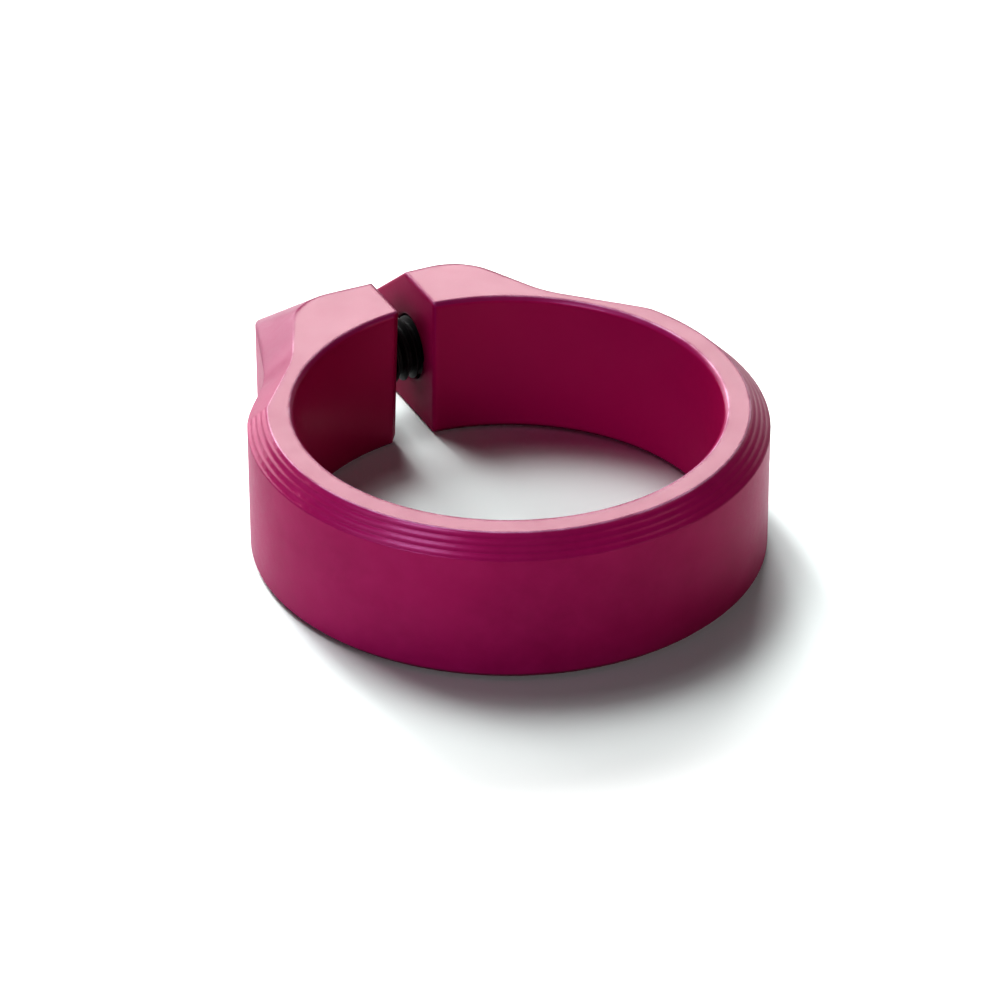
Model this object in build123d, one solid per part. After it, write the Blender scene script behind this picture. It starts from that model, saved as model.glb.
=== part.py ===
from build123d import *
import os
from math import sin, cos, tan, radians, sqrt, acos, atan2, pi

# Split-ring seatpost clamp, lying flat as it sits round the top of a seat tube.
# Frame: origin on the bore axis in the base plane, +Z along the bore axis,
# slot and ears towards +Y, clamp bolt along X with its head on the +X side.

# ---- driving dimensions, mm ----
bore_r = 15.9            # 31.8 mm seat tube
bore_break = 0.30        # 45 degree edge break at both ends of the bore
ring_r = 19.35           # outside of the ring
height = 11.5
base_break = 0.40        # edge break round the bottom outline

ring_chamfer = 1.50      # 45 degree chamfer round the top of the ring
scallops = 4             # concentric shallow grooves along that chamfer
scallop_depth = 0.055

slot_x = {+1: 1.25, -1: -1.60}       # slot faces of the two ears, at the top
slot_lean = {+1: -0.15, -1: -0.40}   # how far each face has moved in X at the base
slot_break = 0.15        # edge break along the slot
slot_bore_break = {+1: 0.20, -1: 0.45}   # where the slot opens into the bore
slot_base_break = {+1: 0.20, -1: 0.60}   # along its two bottom edges

# Ears: each flank and each run-out line is given by the angle of its outward
# normal, measured from +Y, and its distance from the bore axis (flat top).
flank_angle = {+1: 63.6, -1: 65.9}
flank_dist = {+1: 15.02, -1: 16.03}
runout_angle = {+1: 44.1, -1: 51.5}
runout_dist = {+1: 16.97, -1: 17.28}
inner_round = {+1: 8.3, -1: 10.0}    # hollow where flank and ring meet
runout_round = 6.0
top_back = {+1: 21.4, -1: 20.9}      # back edge of the flat top
top_corner = {+1: 4.4, -1: 4.4}      # plan radius of the flat top's back corners
corner_growth = -0.45    # change of that radius per mm of depth down the slopes

wall_angle = {+1: 69.2, -1: 71.5}    # upright flank walls below the chamfer
wall_dist = {+1: 16.12, -1: 17.30}
ear_back = 28.0          # back face of the ears
back_slope = 38.0        # chamfer from flat top to back face, from horizontal
ear_corner = {+1: 6.0, -1: 6.5}      # plan radius of the ears' back corners
ear_hollow = {+1: 9.0, -1: 15.0}     # plan radius between ring wall and flank

# Clamp bolt, M5 x 14 with a low head, its washer and their seats
bolt_y = 20.4
bolt_z = 5.45
shank_r = 2.45
shank_len = 14.0
tip_chamfer = 0.6
head_r = 4.25
head_len = 3.5
head_chamfer = 0.35
hex_af = 4.0
hex_depth = 2.2
washer_r = 4.25
washer_hole_r = 2.65
washer_t = 1.0
washer_break = 0.15
seat_x = 4.8             # floor of the counterbore
counterbore_r = 4.45
clear_r = 2.60           # plain hole on the head side
thread_r = 2.50          # blind tapped hole on the other side
thread_end = -8.8        # its full-width depth
thread_point = 1.2       # and the drill point beyond that
hole_break = 0.15


def line_cross(a1, d1, a2, d2):
    """Crossing of two lines x*sin(a)+y*cos(a)=d."""
    s1, c1, s2, c2 = sin(a1), cos(a1), sin(a2), cos(a2)
    det = s1 * c2 - c1 * s2
    return ((d1 * c2 - c1 * d2) / det, (s1 * d2 - d1 * s2) / det)


def circle_cross(a, d, r, toward):
    """Crossing of a line with the circle r, on the side given by toward."""
    half = acos(d / r) * toward
    return (r * sin(a + half), r * cos(a + half))


def near(shape, p):
    return min(shape.vertices(), key=lambda q: (q.X - p[0]) ** 2 + (q.Y - p[1]) ** 2)


def rounded(face, corners):
    for p, r in corners:
        face = fillet(near(face, p), r)
    return face


def top_outline(d, back):
    """Flat-top outline grown by d on its sides and by back at its back edge."""
    pts, rounds = {}, []
    r = ring_r - ring_chamfer + 0.12 + d
    for s in (+1, -1):
        fa, ra = s * radians(flank_angle[s]), s * radians(runout_angle[s])
        fd, rd = flank_dist[s] + d, runout_dist[s] + d
        p0 = circle_cross(ra, rd, r, s)
        p1 = line_cross(ra, rd, fa, fd)
        p2 = line_cross(fa, fd, 0.0, top_back[s] + back)
        pts[s] = (p0, p1, p2)
        rounds += [(p0, runout_round + d), (p1, inner_round[s] - d), (p2, top_corner[s] + d * corner_growth)]
    step = [(0.0, top_back[1] + back), (0.0, top_back[-1] + back)]      # falls in the slot
    loop = [*pts[1], *step, *reversed(pts[-1])]
    edges = [Line(loop[i], loop[i + 1]) for i in range(7)]
    edges.append(ThreePointArc(loop[7], (0, -r), loop[0]))
    return rounded(make_face(edges), rounds)


def wall_outline():
    """Outline of the upright walls: ring, hollows, flanks and back."""
    pts, rounds = {}, []
    for s in (+1, -1):
        fa, fd = s * radians(wall_angle[s]), wall_dist[s]
        p0 = circle_cross(fa, fd, ring_r, -s)
        p1 = line_cross(fa, fd, 0.0, ear_back)
        pts[s] = (p0, p1)
        rounds += [(p0, ear_hollow[s]), (p1, ear_corner[s])]
    loop = [pts[1][0], pts[1][1], pts[-1][1], pts[-1][0]]
    edges = [Line(loop[i], loop[i + 1]) for i in range(3)]
    edges.append(ThreePointArc(loop[3], (0, -ring_r), loop[0]))
    return rounded(make_face(edges), rounds)


def x_cylinder(r, x0, x1):
    return Plane(origin=(x0, bolt_y, bolt_z), x_dir=(0, 1, 0), z_dir=(1, 0, 0)) * extrude(Circle(r), x1 - x0)


def x_cone(r0, r1, x0, x1):
    n = Plane(origin=(x0, bolt_y, bolt_z), x_dir=(0, 1, 0), z_dir=(1, 0, 0))
    return n * Cone(r0, r1, x1 - x0, align=(Align.CENTER, Align.CENTER, Align.MIN))


# ---- collar ----
wall = wall_outline()
blank = extrude(wall, height)
base_edges = [e for e in blank.edges() if abs(e.center().Z) < 1e-6]
blank = chamfer(base_edges, base_break)

# upper part: everything outside the sloping sides of the flat top is cut away
drop = 6.0
f_top = Pos(0, 0, height) * top_outline(0.0, 0.0)
f_low = Pos(0, 0, height - drop) * top_outline(drop, drop / tan(radians(back_slope)))
core = loft([f_low, f_top], ruled=True)
slab = Pos(0, 0, height - drop) * Box(90, 90, drop + 2, align=(Align.CENTER, Align.CENTER, Align.MIN))
collar = blank - (slab - core)

# scalloped chamfer round the ring: shallow hollows whose crests lie on 45 degrees
r_in = ring_r - ring_chamfer
pitch = ring_chamfer / scallops
prof = []
for i in range(scallops):
    a = (r_in + i * pitch, height - i * pitch)
    b = (r_in + (i + 1) * pitch, height - (i + 1) * pitch)
    m = ((a[0] + b[0]) / 2 - scallop_depth / sqrt(2), (a[1] + b[1]) / 2 - scallop_depth / sqrt(2))
    prof.append(ThreePointArc(a, m, b))
out = (ring_r + 3, height - ring_chamfer)
prof += [Line((ring_r, height - ring_chamfer), out), Line(out, (ring_r + 3, height + 1)),
         Line((ring_r + 3, height + 1), (r_in, height + 1)), Line((r_in, height + 1), (r_in, height))]
groove_face = Plane.XZ * make_face(prof)
start = 90 - runout_angle[1]                  # clear of the +X ear, clockwise to the -X ear
sweep = 360 - runout_angle[1] - runout_angle[-1]
grooves = Rot(0, 0, start) * revolve(groove_face, Axis.Z, -sweep)
collar = collar - grooves

# bore with its edge breaks
collar = collar - Cylinder(bore_r, height * 3)
collar = collar - Pos(0, 0, height - bore_break) * Cone(
    bore_r, bore_r + 2, 2, align=(Align.CENTER, Align.CENTER, Align.MIN))
collar = collar - Pos(0, 0, bore_break - 2) * Cone(
    bore_r + 2, bore_r, 2, align=(Align.CENTER, Align.CENTER, Align.MIN))

# slot through both ears, with a small break on every edge it leaves behind
slope = radians(back_slope)
for side in (+1, -1):
    x = slot_x[side]
    y0 = sqrt(bore_r ** 2 - x ** 2)
    far = -0.7 * side                             # past the middle, so the two cuts overlap
    b, e = slot_break, side * slot_break
    c = slot_bore_break[side]
    plan = [(far, y0 - 3), (x + side * c, y0 - 3), (x + side * c, y0 - 0.04), (x, y0 + c), (x, ear_back - b),
            (x + e, ear_back), (x + e, ear_back + 3), (far, ear_back + 3)]
    cut = Pos(0, 0, -1) * extrude(make_face(Polyline(*plan, close=True)), height + 2)
    ends = (((0, 5, height), (0, 1, 0), slot_break),
            ((0, top_back[side], height), (0, cos(slope), -sin(slope)), slot_break),
            ((0, 31, 0), (0, -1, 0), slot_base_break[side]))
    for at, along, b in ends:
        # wedge that leaves a 45 degree edge of width b on the ear's corner
        e = side * b
        run = Plane(origin=at, x_dir=(1, 0, 0), z_dir=along)
        up = 1 if run.y_dir.Z > 0 else -1
        if at[2] == 0:
            up = -up
        wedge = make_face(Polyline((far, up), (x + e + side, up), (x + e, 0), (x, -up * b), (far, -up * b), close=True))
        cut = cut + run * extrude(wedge, 27)
    lean = Rot(0, -atan2(slot_lean[side], height) * 180 / pi, 0)
    collar = collar - Pos(x, 0, height) * (lean * (Pos(-x, 0, -height) * cut))

# bolt holes: counterbore and plain hole on +X, blind tapped hole on -X
collar = collar - x_cylinder(counterbore_r, seat_x, seat_x + 20)
collar = collar - x_cylinder(clear_r, 0, seat_x + 1)
collar = collar - x_cylinder(thread_r, thread_end, 0)
collar = collar - x_cone(0.05, thread_r, thread_end - thread_point, thread_end)
face_x = {side: slot_x[side] + slot_lean[side] * (height - bolt_z) / height for side in (+1, -1)}
collar = collar - x_cone(clear_r + hole_break, clear_r, face_x[1], face_x[1] + hole_break)
collar = collar - x_cone(thread_r, thread_r + 2 * hole_break, face_x[-1] - 2 * hole_break, face_x[-1])

# ---- washer ----
w0, w1 = seat_x, seat_x + washer_t
washer = x_cylinder(washer_r, w0, w1) - x_cylinder(washer_hole_r, w0 - 1, w1 + 1)
washer = chamfer([e for e in washer.edges() if e.geom_type == GeomType.CIRCLE and e.radius > 3], washer_break)

# ---- bolt ----
under = w1
tip = under - shank_len
bolt = x_cylinder(shank_r, tip, under + 0.5) + x_cylinder(head_r, under, under + head_len)
bolt = chamfer([e for e in bolt.edges() if e.geom_type == GeomType.CIRCLE and abs(e.center().X - tip) < 1e-4], tip_chamfer)
bolt = chamfer([e for e in bolt.edges() if e.geom_type == GeomType.CIRCLE and abs(e.center().X - under - head_len) < 1e-4], head_chamfer)
end = Plane(origin=(under + head_len, bolt_y, bolt_z), x_dir=(0, 1, 0), z_dir=(1, 0, 0))
key = end * extrude(RegularPolygon(hex_af / 2, 6, major_radius=False), -hex_depth)
drill = x_cone(0.01, hex_af / 2, under + head_len - hex_depth - 1.1, under + head_len - hex_depth)
bolt = bolt - key - drill

# ---- write one file per piece ----
os.makedirs("parts", exist_ok=True)
for name, shape in (("clamp_collar", collar), ("clamp_bolt", bolt), ("bolt_washer", washer)):
    solids = shape.solids()
    assert len(solids) == 1, (name, len(solids))
    one = solids[0]
    one.label = name
    bb = one.bounding_box()
    print(name, "valid", one.is_valid, "volume", round(one.volume, 2),
          "box", [round(v, 2) for v in (*bb.min, *bb.max)])
    export_step(one, f"parts/{name}.step")
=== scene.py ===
import bpy
import math
from mathutils import Matrix, Vector


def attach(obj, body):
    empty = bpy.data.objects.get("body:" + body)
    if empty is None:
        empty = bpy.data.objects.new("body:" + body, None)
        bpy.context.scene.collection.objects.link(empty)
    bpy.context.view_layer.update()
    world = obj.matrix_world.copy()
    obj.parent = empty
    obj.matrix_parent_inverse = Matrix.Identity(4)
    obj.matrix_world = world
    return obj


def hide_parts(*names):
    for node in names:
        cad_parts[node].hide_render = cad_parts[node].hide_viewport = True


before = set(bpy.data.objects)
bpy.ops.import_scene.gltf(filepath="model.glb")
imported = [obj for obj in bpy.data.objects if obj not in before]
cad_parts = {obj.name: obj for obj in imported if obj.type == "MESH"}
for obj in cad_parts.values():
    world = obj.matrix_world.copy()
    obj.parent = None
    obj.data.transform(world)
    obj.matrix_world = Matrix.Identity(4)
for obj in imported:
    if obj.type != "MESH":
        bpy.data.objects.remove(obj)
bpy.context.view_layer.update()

scene = bpy.context.scene
scene.view_settings.view_transform = "Standard"
scene.view_settings.look = "None"
scene.view_settings.exposure = 0.0
scene.view_settings.gamma = 0.833

# The photograph looks at the clamp from this side of the slot.
TURN = math.radians(-25.4)
SPIN = Matrix.Rotation(TURN, 4, "Z")


def spun(x, y, z):
    """A point given in the photograph's own axes: x right, y away, z up."""
    return SPIN @ Vector((x, y, z))


# ---------------------------------------------------------------- materials

def new_material(name):
    mat = bpy.data.materials.new(name)
    mat.use_nodes = True
    tree = mat.node_tree
    tree.nodes.clear()
    out = tree.nodes.new("ShaderNodeOutputMaterial")
    shader = tree.nodes.new("ShaderNodeBsdfPrincipled")
    tree.links.new(shader.outputs["BSDF"], out.inputs["Surface"])
    return mat, tree, shader


def object_coords(tree):
    node = tree.nodes.new("ShaderNodeTexCoord")
    return node.outputs["Object"]


def noise(tree, coords, scale, detail=2.0, rough=0.5, distortion=0.0):
    node = tree.nodes.new("ShaderNodeTexNoise")
    node.inputs["Scale"].default_value = scale
    node.inputs["Detail"].default_value = detail
    node.inputs["Roughness"].default_value = rough
    node.inputs["Distortion"].default_value = distortion
    tree.links.new(coords, node.inputs["Vector"])
    return node.outputs["Fac"]


def remap(tree, value, a0, a1, b0, b1, clamp=True):
    node = tree.nodes.new("ShaderNodeMapRange")
    node.clamp = clamp
    for k, v in zip(("From Min", "From Max", "To Min", "To Max"), (a0, a1, b0, b1)):
        node.inputs[k].default_value = v
    tree.links.new(value, node.inputs["Value"])
    return node.outputs["Result"]


def math_node(tree, op, a, b=None, clamp=False):
    node = tree.nodes.new("ShaderNodeMath")
    node.operation = op
    node.use_clamp = clamp
    for i, v in enumerate((a, b)):
        if v is None:
            continue
        if isinstance(v, (int, float)):
            node.inputs[i].default_value = v
        else:
            tree.links.new(v, node.inputs[i])
    return node.outputs[0]


def mix_colour(tree, fac, a, b):
    node = tree.nodes.new("ShaderNodeMix")
    node.data_type = "RGBA"
    ins = [s for s in node.inputs if s.type == "RGBA"]
    fac_in = [s for s in node.inputs if s.type == "VALUE"][0]
    for sock, v in ((fac_in, fac), (ins[0], a), (ins[1], b)):
        if isinstance(v, tuple):
            sock.default_value = (*v, 1.0)
        elif isinstance(v, (int, float)):
            sock.default_value = v
        else:
            tree.links.new(v, sock)
    return [s for s in node.outputs if s.type == "RGBA"][0]


def bump(tree, height, strength, distance, normal=None):
    node = tree.nodes.new("ShaderNodeBump")
    node.inputs["Strength"].default_value = strength
    node.inputs["Distance"].default_value = distance
    tree.links.new(height, node.inputs["Height"])
    if normal is not None:
        tree.links.new(normal, node.inputs["Normal"])
    return node.outputs["Normal"]


def anodised():
    """Dyed anodised aluminium: fine blasted grain under a clear satin oxide layer."""
    mat, tree, shader = new_material("anodised_aluminium")
    co = object_coords(tree)
    grain = noise(tree, co, 9000.0, 3.0, 0.6)
    mottle = noise(tree, co, 1300.0, 3.0, 0.55)
    cloud = noise(tree, co, 420.0, 3.0, 0.6)
    broad = noise(tree, co, 110.0, 2.0, 0.5)

    # where on the collar a point lies
    axes = tree.nodes.new("ShaderNodeSeparateXYZ")
    tree.links.new(co, axes.inputs[0])
    x, y, z = axes.outputs
    radius = math_node(tree, "SQRT", math_node(tree, "ADD", math_node(tree, "MULTIPLY", x, x), math_node(tree, "MULTIPLY", y, y)))
    in_bore = math_node(tree, "LESS_THAN", radius, 0.015945)
    in_slot = math_node(tree, "LESS_THAN", math_node(tree, "ABSOLUTE", math_node(tree, "ADD", x, 0.0004)), 0.00172)
    in_slot = math_node(tree, "MULTIPLY", in_slot, math_node(tree, "LESS_THAN", z, 0.01138))
    in_slot = math_node(tree, "MULTIPLY", in_slot, math_node(tree, "GREATER_THAN", y, 0.0150))
    on_ear = remap(tree, y, 0.0100, 0.0170, 0.0, 1.0)
    geometry = tree.nodes.new("ShaderNodeNewGeometry")
    facing = tree.nodes.new("ShaderNodeSeparateXYZ")
    tree.links.new(geometry.outputs["Normal"], facing.inputs[0])
    upright = remap(tree, facing.outputs["Z"], 0.15, 0.60, 1.0, 0.0)
    sloping = remap(tree, facing.outputs["Z"], 0.15, 0.60, 0.0, 1.0)
    # painted sheen: up-facing surfaces and the ear slopes are given a paler, less red colour, standing in for the
    # whitish sheen the light lays on them
    painted_pale_sheen = math_node(tree, "MAXIMUM", remap(tree, facing.outputs["Z"], 0.85, 0.98, 0.0, 1.0), math_node(tree, "MULTIPLY", on_ear, sloping))

    # softened edges, wider round the bore, on the ears and where the grooves fade towards +X, and a painted highlight,
    # pale, along the edges of the flat top
    edge = tree.nodes.new("ShaderNodeBevel")
    edge.samples = 8
    soft = math_node(tree, "MAXIMUM", remap(tree, radius, 0.0166, 0.0174, 0.00038, 0.00020), remap(tree, y, 0.0140, 0.0175, 0.00020, 0.00040))
    soft = math_node(tree, "MAXIMUM", soft, remap(tree, x, -0.0110, 0.0030, 0.00020, 0.00032))
    outer = math_node(tree, "MULTIPLY", remap(tree, math_node(tree, "ABSOLUTE", x), 0.0050, 0.0080, 0.0, 1.0), remap(tree, y, 0.0150, 0.0190, 0.0, 1.0))
    soft = math_node(tree, "MAXIMUM", soft, math_node(tree, "MULTIPLY", outer, 0.0007))
    tree.links.new(soft, edge.inputs["Radius"])
    turn = tree.nodes.new("ShaderNodeVectorMath")
    turn.operation = "DOT_PRODUCT"
    tree.links.new(edge.outputs["Normal"], turn.inputs[0])
    tree.links.new(geometry.outputs["Normal"], turn.inputs[1])
    # painted highlight: edges of the flat top, found where the softened normal turns away from the surface, are painted
    # pale where a rounded edge would catch the light
    painted_edge_highlight = remap(tree, turn.outputs["Value"], 0.995, 0.94, 0.0, 1.0)
    painted_edge_highlight = math_node(tree, "MULTIPLY", painted_edge_highlight, remap(tree, z, 0.01135, 0.01148, 0.0, 1.0))
    painted_edge_highlight = math_node(tree, "MULTIPLY", painted_edge_highlight, remap(tree, cloud, 0.35, 0.65, 0.3, 1.0))
    painted_edge_highlight = math_node(tree, "MULTIPLY", painted_edge_highlight, remap(tree, on_ear, 0.0, 1.0, 1.0, 0.25))
    painted_edge_highlight = math_node(tree, "MULTIPLY", painted_edge_highlight, remap(tree, outer, 0.0, 1.0, 1.0, 0.0))

    dye_and_painted_light = mix_colour(tree, remap(tree, broad, 0.3, 0.7, 0.0, 1.0), (0.196, 0.0022, 0.050), (0.226, 0.0032, 0.058))
    dye_and_painted_light = mix_colour(tree, remap(tree, math_node(tree, "ADD", cloud, mottle), 0.75, 1.35, 0.0, 0.42), dye_and_painted_light, (0.256, 0.0056, 0.072))
    # painted sheen on the flat top and the ear slopes
    dye_and_painted_light = mix_colour(tree, math_node(tree, "MULTIPLY", painted_pale_sheen, 0.6), dye_and_painted_light, (0.150, 0.0070, 0.048))
    dye_and_painted_light = mix_colour(tree, math_node(tree, "MULTIPLY", in_bore, 0.8), dye_and_painted_light, (0.260, 0.0018, 0.047))
    dye_and_painted_light = mix_colour(tree, math_node(tree, "MULTIPLY", in_slot, 0.8), dye_and_painted_light, (0.225, 0.0014, 0.040))
    # painted pale highlight along the edges of the flat top
    dye_and_painted_light = mix_colour(tree, math_node(tree, "MULTIPLY", painted_edge_highlight, 0.7), dye_and_painted_light, (0.80, 0.52, 0.62))
    tree.links.new(dye_and_painted_light, shader.inputs["Base Color"])
    shader.inputs["Metallic"].default_value = 0.13
    tree.links.new(remap(tree, math_node(tree, "ADD", mottle, grain), 0.6, 1.4, 0.37, 0.47), shader.inputs["Roughness"])
    shader.inputs["Specular IOR Level"].default_value = 0.04
    shader.inputs["Specular Tint"].default_value = (1.0, 0.35, 0.60, 1.0)

    # clear layer: fullest on the flat top, thin on upright walls and in the bore, none in the slot
    seal = math_node(tree, "SUBTRACT", remap(tree, cloud, 0.30, 0.70, 0.27, 0.32), math_node(tree, "MULTIPLY", upright, 0.145))
    seal = math_node(tree, "ADD", seal, remap(tree, on_ear, 0.0, 1.0, 0.008, 0.035))
    seal = math_node(tree, "ADD", seal, math_node(tree, "MULTIPLY", math_node(tree, "MULTIPLY", outer, sloping), remap(tree, y, 0.0200, 0.0225, 0.0, 0.055)))
    seal = math_node(tree, "MULTIPLY", seal, remap(tree, in_bore, 0.0, 1.0, 1.0, 0.5))
    seal = math_node(tree, "MULTIPLY", seal, remap(tree, in_slot, 0.0, 1.0, 1.0, 0.0))
    tree.links.new(seal, shader.inputs["Coat Weight"])
    shader.inputs["Coat Roughness"].default_value = 0.20
    shader.inputs["Coat IOR"].default_value = 1.5
    n = bump(tree, math_node(tree, "ADD", cloud, mottle), 0.22, 0.00003, edge.outputs["Normal"])
    n = bump(tree, grain, 0.22, 0.000012, n)
    tree.links.new(n, shader.inputs["Normal"])
    tree.links.new(n, shader.inputs["Coat Normal"])
    return mat


def black_oxide(name, dark, light, rough0, rough1, head=None):
    """Blackened steel with faint lighter rubs, and a lighter bolt head where one is given."""
    mat, tree, shader = new_material(name)
    co = object_coords(tree)
    fine = noise(tree, co, 5200.0, 3.0, 0.6)
    patch = noise(tree, co, 620.0, 3.0, 0.6)
    tint = mix_colour(tree, remap(tree, patch, 0.35, 0.75, 0.0, 1.0), dark, light)
    if head is not None:
        axes = tree.nodes.new("ShaderNodeSeparateXYZ")
        tree.links.new(co, axes.inputs[0])
        on_head = remap(tree, axes.outputs["X"], 0.0055, 0.0060, 0.0, 1.0)
        on_head = math_node(tree, "MULTIPLY", on_head, remap(tree, fine, 0.35, 0.65, 0.5, 0.9))
        tint = mix_colour(tree, on_head, tint, head)
    tree.links.new(tint, shader.inputs["Base Color"])
    shader.inputs["Metallic"].default_value = 0.2
    shader.inputs["Specular IOR Level"].default_value = 0.22
    tree.links.new(remap(tree, math_node(tree, "ADD", fine, patch), 0.6, 1.4, rough0, rough1), shader.inputs["Roughness"])
    tree.links.new(bump(tree, fine, 0.15, 0.00001), shader.inputs["Normal"])
    return mat


collar_mat = anodised()
bolt_mat = black_oxide("black_oxide_bolt", (0.0034, 0.0033, 0.0035), (0.0085, 0.0082, 0.0082), 0.48, 0.62, head=(0.021, 0.0205, 0.0205))
washer_mat = black_oxide("black_oxide_washer", (0.010, 0.010, 0.011), (0.026, 0.025, 0.025), 0.40, 0.55)


def dress(obj, mat):
    obj.data.materials.clear()
    obj.data.materials.append(mat)


dress(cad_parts["clamp_collar"], collar_mat)
dress(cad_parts["bolt_washer"], washer_mat)

# ---------------------------------------------------------------- the bolt
# M5 x 14 low-head socket screw, in millimetres, along X.
AXIS_Y, AXIS_Z = 20.4, 5.45
TIP_X, UNDER_X, TOP_X = -8.2, 5.8, 9.3
SHANK_R, ROOT_R, PITCH = 2.45, 1.98, 0.8
HEAD_R, HEX_AF, HEX_DEEP = 4.25, 4.0, 2.2
AROUND = 192
FLUTES = 48


def hex_r(a):
    """Radius of the socket's hexagon at angle a, corners on multiples of 60 degrees."""
    k = (a + math.pi / 6) % (math.pi / 3) - math.pi / 6
    return HEX_AF / 2 / math.cos(math.pi / 6 - abs(k))


def thread_r(x, a):
    """Radius of the right-hand thread, with a lead-in at the tip and a run-out at the head."""
    t = (x / PITCH - a / (2 * math.pi)) % 1.0
    d = abs(t - 0.5) * 2.0                      # 0 at the crest, 1 at the root
    cut = min(1.0, max(0.0, (d - 0.14) / 0.60))
    cut = cut * cut * (3 - 2 * cut) * 0.35 + cut * 0.65
    fade = min(1.0, max(0.0, (UNDER_X - 0.75 - x) / 0.7))
    r = SHANK_R - (SHANK_R - ROOT_R) * cut * fade
    return min(r, 1.78 + (x - TIP_X) * 1.12)


def make_bolt():
    rings = []                                   # each ring: list of (x, r) round the axis
    angles = [2 * math.pi * j / AROUND for j in range(AROUND)]

    def plain(x, r):
        rings.append([(x, r)] * AROUND)

    plain(TIP_X, 0.9)
    plain(TIP_X, 1.70)
    steps = int(round((UNDER_X - 0.15 - TIP_X) / 0.045))
    for i in range(steps + 1):
        x = TIP_X + 0.02 + (UNDER_X - 0.17 - TIP_X) * i / steps
        rings.append([(x, thread_r(x, a)) for a in angles])
    for k in range(1, 5):                        # small radius under the head
        b = math.radians(90 * k / 4)
        plain(UNDER_X - 0.15 + 0.15 * math.sin(b), SHANK_R + 0.15 * (1 - math.cos(b)))
    plain(UNDER_X, 3.2)
    plain(UNDER_X, 4.02)
    plain(UNDER_X + 0.16, 4.17)

    def fluted(x, depth):
        rings.append([(x, HEAD_R - 0.02 - depth * (0.5 - 0.5 * math.cos(FLUTES * a))) for a in angles])

    plain(UNDER_X + 0.22, 4.19)
    fluted(UNDER_X + 0.34, 0.09)
    fluted(UNDER_X + 1.6, 0.09)
    fluted(UNDER_X + 2.9, 0.09)
    plain(UNDER_X + 3.02, 4.20)
    for k in range(0, 7):                        # rounded rim
        b = math.radians(90 * k / 6)
        plain(TOP_X - 0.42 + 0.42 * math.sin(b), 3.80 + 0.42 * math.cos(b) - 0.02)
    plain(TOP_X, 3.1)
    plain(TOP_X, 2.50)
    mouth = [(TOP_X - (2.42 - hex_r(a)) * 0.8, hex_r(a)) for a in angles]
    rings.append([(TOP_X - 0.02, 2.43)] * AROUND)
    rings.append(mouth)
    rings.append([(TOP_X - HEX_DEEP * 0.55, hex_r(a)) for a in angles])
    rings.append([(TOP_X - HEX_DEEP + 0.08, hex_r(a)) for a in angles])
    rings.append([(TOP_X - HEX_DEEP, hex_r(a) - 0.06) for a in angles])
    plain(TOP_X - HEX_DEEP, 1.90)
    plain(TOP_X - HEX_DEEP - 0.5, 1.00)
    plain(TOP_X - HEX_DEEP - 0.95, 0.18)

    verts, faces = [], []
    for ring in rings:
        for (x, r), a in zip(ring, angles):
            verts.append((x / 1000, (AXIS_Y + r * math.cos(a)) / 1000, (AXIS_Z + r * math.sin(a)) / 1000))
    for i in range(len(rings) - 1):
        for j in range(AROUND):
            k = (j + 1) % AROUND
            p, q = i * AROUND, (i + 1) * AROUND
            faces.append((p + j, q + j, q + k, p + k))
    first, last = len(verts), len(verts) + 1
    verts.append((TIP_X / 1000, AXIS_Y / 1000, AXIS_Z / 1000))
    verts.append(((TOP_X - HEX_DEEP - 1.0) / 1000, AXIS_Y / 1000, AXIS_Z / 1000))
    end = (len(rings) - 1) * AROUND
    for j in range(AROUND):
        k = (j + 1) % AROUND
        faces.append((first, j, k))
        faces.append((last, end + k, end + j))
    mesh = bpy.data.meshes.new("socket_bolt")
    mesh.from_pydata(verts, [], faces)
    mesh.validate()
    mesh.polygons.foreach_set("use_smooth", [True] * len(mesh.polygons))
    mesh.set_sharp_from_angle(angle=math.radians(42))
    mesh.update()
    obj = bpy.data.objects.new("socket_bolt", mesh)
    scene.collection.objects.link(obj)
    mesh.materials.append(bolt_mat)
    return obj


bolt = make_bolt()
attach(bolt, "bolt")
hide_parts("clamp_bolt")

# ---------------------------------------------------------------- floor

def floor_material():
    mat, tree, shader = new_material("pale_floor")
    co = object_coords(tree)
    soft = noise(tree, co, 3.0, 2.0, 0.5)
    tint = mix_colour(tree, remap(tree, soft, 0.3, 0.7, 0.0, 1.0), (0.886, 0.906, 0.899), (0.892, 0.912, 0.905))
    reach = tree.nodes.new("ShaderNodeVectorMath")    # cooler under the clamp, against its red glow
    reach.operation = "LENGTH"
    tree.links.new(co, reach.inputs[0])
    tint = mix_colour(tree, remap(tree, reach.outputs["Value"], 0.020, 0.034, 1.0, 0.0), tint, (0.828, 0.920, 0.902))
    tree.links.new(tint, shader.inputs["Base Color"])
    shader.inputs["Roughness"].default_value = 0.9
    shader.inputs["Specular IOR Level"].default_value = 0.0
    return mat


half = 3.0
floor_mesh = bpy.data.meshes.new("floor")
floor_mesh.from_pydata([(-half, -half, 0), (half, -half, 0), (half, half, 0), (-half, half, 0)], [], [(0, 1, 2, 3)])
floor = bpy.data.objects.new("floor", floor_mesh)
scene.collection.objects.link(floor)
floor_mesh.materials.append(floor_material())

# ---------------------------------------------------------------- light

def floor_group(name, state):
    """Collection that limits a light to the floor, or keeps it off the floor."""
    group = bpy.data.collections.new(name)
    group.objects.link(floor)
    group.collection_objects[0].light_linking.link_state = state
    return group


on_floor = floor_group("lights_floor", "INCLUDE")
off_floor = floor_group("spares_floor", "EXCLUDE")


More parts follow.
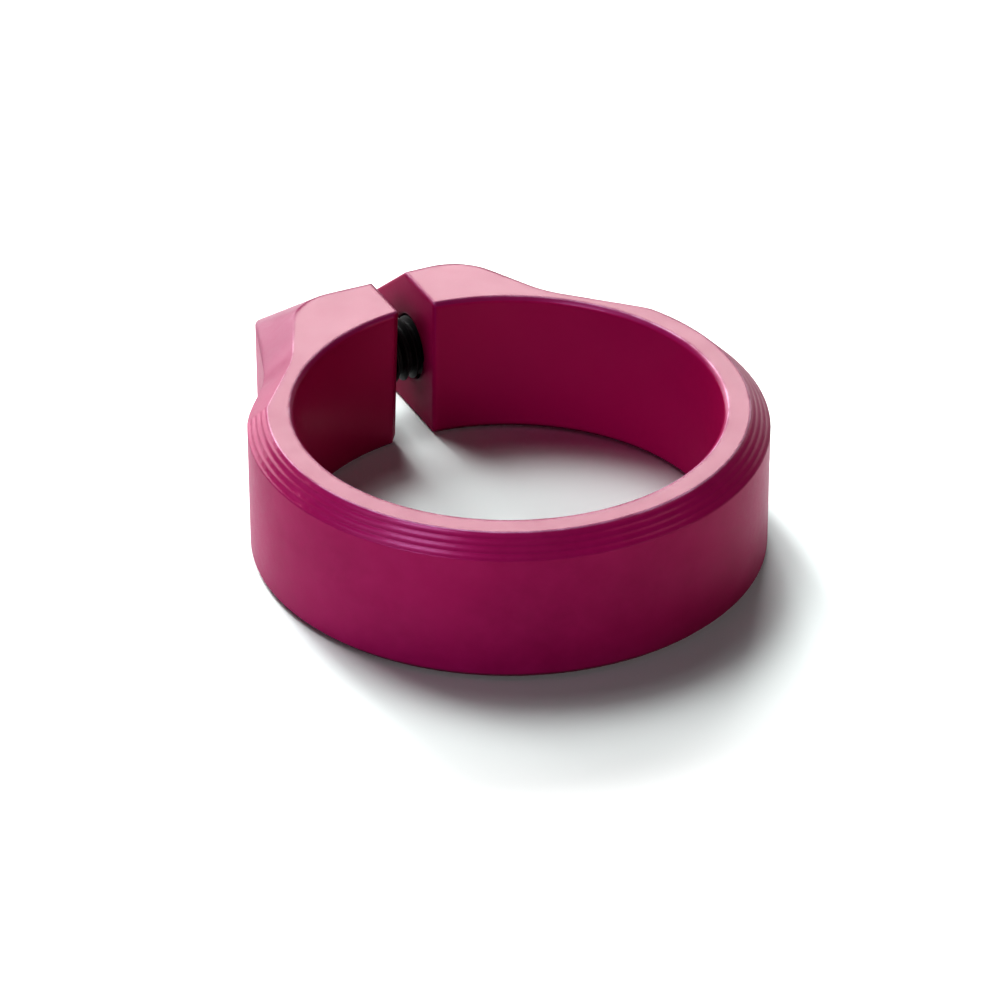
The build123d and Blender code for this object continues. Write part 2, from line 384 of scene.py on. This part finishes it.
def soft_box(name, group, toward, width, depth, radiance, shape="RECTANGLE", tint=(1, 1, 1), distance=2.0):
    """Area light seen from the clamp along toward, facing it, with the given brightness."""
    data = bpy.data.lights.new(name, "AREA")
    data.shape = shape
    data.size, data.size_y = width, depth
    area = width * depth * (math.pi / 4 if shape in ("DISK", "ELLIPSE") else 1.0)
    data.energy = radiance * math.pi * area
    data.color = tint
    obj = bpy.data.objects.new(name, data)
    d = spun(*toward).normalized()
    obj.location = d * distance + Vector((0, 0, 0.006))
    obj.rotation_mode = "QUATERNION"
    obj.rotation_quaternion = d.to_track_quat("Z", "Y")
    obj.light_linking.receiver_collection = group
    scene.collection.objects.link(obj)
    return obj


# the floor: a large lamp high behind the clamp, one straight behind it and weak fills
soft_box("floor_key", on_floor, (-0.26, 0.50, 0.83), 0.90, 0.90, 13.3, "DISK")
soft_box("floor_high", on_floor, (-0.22, 0.38, 0.90), 0.90, 0.90, 5.5, "DISK")
soft_box("floor_back", on_floor, (0.00, 0.851, 0.526), 0.60, 0.45, 32.0)
soft_box("floor_low", on_floor, (0.00, 0.97, 0.20), 1.60, 0.50, 4.7)
soft_box("floor_left", on_floor, (-0.55, 0.70, 0.46), 0.90, 0.70, 11.6)
soft_box("floor_slot", on_floor, (-0.40, 0.86, 0.34), 0.50, 0.40, 82.0)
soft_box("floor_side", on_floor, (-0.95, 0.10, 0.30), 1.20, 0.80, 0.8)
soft_box("floor_right", on_floor, (0.65, -0.70, 0.28), 1.20, 0.80, 4.4)

# the clamp: soft boxes behind and to the left, weaker ones in front
soft_box("back", off_floor, (0.00, 0.851, 0.526), 0.60, 0.45, 19.4, tint=(1.0, 1.0, 0.94))
soft_box("back_between", off_floor, (-0.28, 0.83, 0.48), 0.45, 0.50, 12.5)
soft_box("edge", off_floor, (-0.36, 0.50, 0.79), 0.30, 0.30, 26.0)
soft_box("edge_front", off_floor, (-0.10, 0.26, 0.96), 0.30, 0.30, 16.0)
soft_box("low_right", off_floor, (0.60, 0.79, 0.10), 1.40, 0.50, 1.4)
soft_box("back_left", off_floor, (-0.55, 0.70, 0.46), 0.90, 0.70, 11.2)
soft_box("low_left", off_floor, (-0.545, 0.83, 0.12), 1.00, 0.45, 8.4)
soft_box("front_left", off_floor, (-0.54, -0.60, 0.58), 0.80, 0.80, 12.6, tint=(1.0, 0.88, 1.40))
soft_box("front_right", off_floor, (0.85, -0.45, 0.28), 1.20, 0.80, 4.0, tint=(1.0, 1.0, 0.82))
soft_box("side", off_floor, (-0.95, 0.10, 0.30), 1.20, 0.80, 0.8, tint=(1.0, 0.88, 1.4))
soft_box("high_left", off_floor, (-0.61, -0.27, 0.75), 1.20, 1.20, 2.5, tint=(1.0, 0.88, 1.4))
soft_box("front", off_floor, (0.00, -0.60, 0.80), 1.40, 1.40, 0.3)

world = bpy.data.worlds.new("studio")
scene.world = world
world.use_nodes = True
background = world.node_tree.nodes["Background"]
background.inputs["Color"].default_value = (1.0, 1.0, 1.0, 1.0)
background.inputs["Strength"].default_value = 0.02

# ---------------------------------------------------------------- camera
# Viewing angle, distance and framing of the photograph.
FOCAL_PX, ELEV, ROLL, DIST, U0, V0 = 5161.09, math.radians(31.7371), math.radians(-0.06), 20 * 0.01935, 508.94, 535.77
forward = Vector((0, math.cos(ELEV), -math.sin(ELEV)))
right, up = Vector((1, 0, 0)), Vector((0, math.sin(ELEV), math.cos(ELEV)))
r2 = math.cos(ROLL) * right + math.sin(ROLL) * up
u2 = -math.sin(ROLL) * right + math.cos(ROLL) * up
ray = forward + (U0 - 500) / FOCAL_PX * r2 - (V0 - 500) / FOCAL_PX * u2
place = -ray * DIST
turn = Matrix((r2, u2, -forward)).transposed().to_4x4()
cam_data = bpy.data.cameras.new("camera")
cam_data.sensor_width = 36.0
cam_data.lens = FOCAL_PX * 36.0 / 1000.0
cam_data.clip_start, cam_data.clip_end = 0.01, 20.0
cam = bpy.data.objects.new("camera", cam_data)
cam.matrix_world = SPIN @ (Matrix.Translation(place) @ turn)
scene.collection.objects.link(cam)
scene.camera = cam

bpy.context.view_layer.update()
